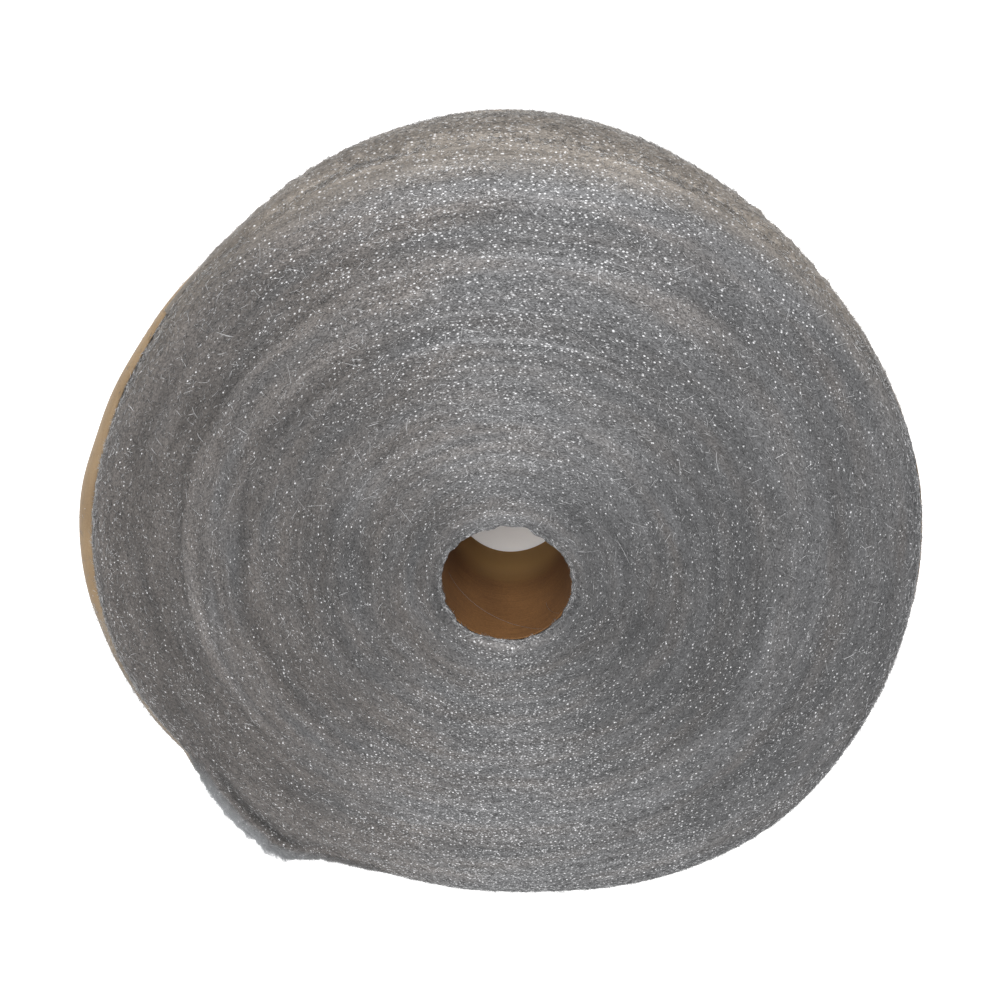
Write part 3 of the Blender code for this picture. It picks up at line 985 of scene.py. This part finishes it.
def mouth_strands(seed, count, material):
    """Short strands on the lip of the bore's mouth."""
    rng = default_rng(seed)
    angle = rng.random((count, 1)) * 2 * pi
    along, across = run_along(rng, count, 0.0032, 0.7, 4)
    path_angle = angle + along / BORE_RADIUS
    lip = mouth_radius(path_angle)
    radius = np.maximum(lip + 0.0022 * rng.random((count, 1)) + across * 0.6, lip - 0.0008)
    over = np.clip(lip - radius, 0, None)
    height = upper_height(np.maximum(radius, lip), path_angle) + 0.0001 - 1.5 * over
    height = height - 0.0015 * rng.random((count, 1)) * (over > 0)
    paths = place(radius, path_angle, height)
    tone = strand_tones(rng, count, 0.14, 4)
    tubes("mouth_strands", paths, thickness(rng, count), outward(angle, 1.0, 0.0), tone, material)


def bore_fibres(material):
    """Two fine loose fibres on the bore's paper, each a curve bent by its middle point."""
    share = np.linspace(0, 1, 24)
    weights = (1 - share) ** 2, 2 * share * (1 - share), share**2
    made = []
    for points in FIBRES:
        angle, height = (sum(w * point[i] for w, point in zip(weights, points)) for i in (0, 1))
        made.append(place(LINER_INNER - 0.0004, np.radians(angle), height))
    paths = np.array(made)
    tone = np.full(paths.shape[:2], 0.3)
    out = AXIS_POINT - paths.mean(axis=1)
    tubes("bore_fibres", paths, np.array([0.00006, 0.00005]), out, tone, material)


def wrap_radius(angle):
    """Inner radius of the outer paper."""
    return edge_radius(angle) + bulge(angle) + PAPER_GAP + WRAP_STAND_OFF + lumps(angle, WRAP_LUMPS)


def bent_sheet(name, section, material, slot, node=None):
    """A sheet from a row of closed sections, each an inner line and the outer line back."""
    count, size = section.shape[:2]
    last = (count - 1) * size
    k = np.arange(size // 2 - 1)
    end = np.stack([k + 1, size - 2 - k, size - 1 - k, k], axis=1)
    faces = np.concatenate([closed_grid(count, size)[:last], end, end[:, ::-1] + last])
    mesh_piece(name, section, faces, material, slot, node)


def kraft_wrap(material):
    """The outer paper: a sheet with two sides, bent around the roll and a little wavy.

    It stands straight, then curls in over the roll's shoulder along a quarter of an oval.
    """
    angle = np.linspace(*WRAP_ENDS, 420)[:, None]
    rng = default_rng(31)
    top = paper_top(angle) + 0.0003 * waves(angle, 0, rng, 8, 40, (1, 2))
    rise = np.linspace(0, 1, 10)[:-1]
    turned = np.linspace(0, pi / 2, 9)
    full, curled = wrap_radius(angle), curl_end(angle)
    wall = WRAP_FOOT + (top - WRAP_CURL - WRAP_FOOT) * rise
    height = np.concatenate([wall, top - WRAP_CURL * (1 - np.sin(turned))], axis=1)
    inner = np.concatenate([full + 0 * rise, curled + (full - curled) * np.cos(turned)], axis=1)
    wavy = 0.00030 * (1 + waves(angle, height, rng, 10, 26, (0.08, 0.3)))
    inner = inner + np.clip(wavy, 0, None)
    slope_r, slope_z = np.gradient(inner, axis=1), np.gradient(height, axis=1)
    size = np.hypot(slope_r, slope_z)
    outer = inner + WRAP_THICKNESS * slope_z / size
    above = height - WRAP_THICKNESS * slope_r / size
    inside, outside = place(inner, angle, height), place(outer, angle, above)
    section = np.concatenate([inside, outside[:, ::-1]], axis=1)
    bent_sheet("kraft_paper", section, material, "wrap_paper", "kraft_wrap")


def kraft_liner(material):
    """The paper in the bore: a tube with shallow dents inside."""
    angle = np.linspace(0, 2 * pi, 160, endpoint=False)
    rise = np.concatenate([[0, 0.003], np.linspace(0.02, 0.98, 28), [0.997, 1]])[:, None]
    height = LINER_FOOT + (WIDTH - LINER_RECESS - LINER_FOOT) * rise
    dent = 0.00022 * waves(angle, height, default_rng(41), 10, 7, (0.05, 0.3))
    radius = LINER_INNER + np.clip(dent, -0.0006, 0.0004)
    outside = place(BORE_RADIUS - PAPER_GAP, angle, height)[::-1]
    points = np.concatenate([place(radius, angle, height), outside])
    faces = closed_grid(*points.shape[:2])[:, ::-1]
    mesh_piece("bore_paper", points, faces, material, "liner_paper", "kraft_liner")


def seen(net):
    """1 for rays that show a thing, also in metal or glass, and 0 for rays that light the roll."""
    rays = net.node("LightPath").socket.node.outputs
    names = ("Is Camera Ray", "Is Glossy Ray", "Is Transmission Ray")
    straight, glossy, through = (Number(net, rays[name]) for name in names)
    return net.maths("MAXIMUM", straight, net.maths("MAXIMUM", glossy, through))


def floor():
    """A pale floor that keeps the roll's soft shadow: part of what is seen of it is its own glow.

    It glows a little in the bore, not under the wool beside it, and most far from the roll.
    """
    bpy.ops.mesh.primitive_plane_add(size=FLOOR_SIZE, location=(0, 0, -FLOOR_BELOW))
    made = bpy.context.object
    made.name = "floor"
    net = new_material("pale floor")
    radius = net.around()[3]
    glow = net.step(radius, 120.0, 215.0) * 0.62 + (1.0 - net.step(radius, 36.0, 44.0)) * 0.2
    glow = (glow + net.step(radius, 800.0, 3000.0) * 0.16) * seen(net)
    net.finish(Base_Color=FLOOR, Roughness=0.9, Emission_Color=net.grey(glow), Emission_Strength=1.0)
    made.data.materials.append(net.owner)


def lamp(name, place_at, size, power):
    """A square soft light that is aimed at the middle of the roll's upper face."""
    data = bpy.data.lights.new(name, "AREA")
    data.size = size
    data.energy = power
    made = put(name, data)
    made.location = place_at
    way = Vector((AXIS_X, AXIS_Y, WIDTH)) - Vector(place_at)
    made.rotation_euler = way.to_track_quat("-Z", "Y").to_euler()


def world():
    """A surround that is seen as white and lights the roll softly."""
    made = bpy.data.worlds.new("surround")
    bpy.context.scene.world = made
    made.use_nodes = True
    net = Net(made)
    back = net.tree.nodes["Background"]
    net.feed(back.inputs["Strength"], SURROUND + (1.0 - SURROUND) * seen(net))
    back.inputs["Color"].default_value = (1, 1, 1, 1)


def camera():
    """The photo's view: above the roll, tilted towards its top."""
    data = bpy.data.cameras.new("camera")
    data.lens = LENS
    data.sensor_width = SENSOR
    data.clip_start = 0.01
    made = put("camera", data)
    forward, right = Vector(CAMERA_FORWARD), Vector(CAMERA_RIGHT)
    up = right.cross(forward)
    turned = Matrix((right, up, -forward)).transposed().to_4x4()
    at = Vector(CAMERA_PLACE) + Vector((AXIS_X, AXIS_Y, 0))
    made.matrix_world = Matrix.Translation(at) @ turned
    bpy.context.scene.camera = made


wool = wool_material()
strands = strand_material()
wool_body(wool)
for part, seed in enumerate((101, 102, 103)):
    upper_strands(f"upper_strands_{part + 1}", seed, 20000, strands)
upper_strands(
    "curled_strands", 104, 1400, strands, 5, length=0.0048, stray=0.9, lift=0.0006, bright=0.5, spread=50
)
lower_strands(111, 7000, strands)
rim_strands("shoulder_strands", 121, 8000, strands, 0.0, SHOULDER_END, 0.0012)
rim_strands("rim_strands", 122, 2200, strands, SIDE_FROM, 1.0, 0.0020, arc=(211, 264))
edge_fuzz(124, 11000, strands)
seam_strands(125, 6000, strands)
spill_strands("spill_strands", 126, 9000, strands, middle=80, spread=26, bright=0.07)
spill_strands("left_strands", 127, 1300, strands, middle=198, spread=11, bright=0.25)
spill_strands("wall_strands", 128, 3200, strands, middle=82, spread=22, bright=0.1, ways=(1.5, 3.35))
tail_strands(131, 6000, strands)
mouth_strands(141, 1600, strands)
bore_fibres(strands)
spill(wool)
kraft_wrap(paper_material("kraft paper", *OUTER_PAPER, 0.6, dusted=0.9))
kraft_liner(paper_material("shaded kraft paper", *SHADED_BORE_PAPER, 0.85, painted_floor_light=0.9))
floor()
world()
for settings in LAMPS:
    lamp(*settings)
camera()
bpy.context.scene.view_settings.view_transform = "Standard"
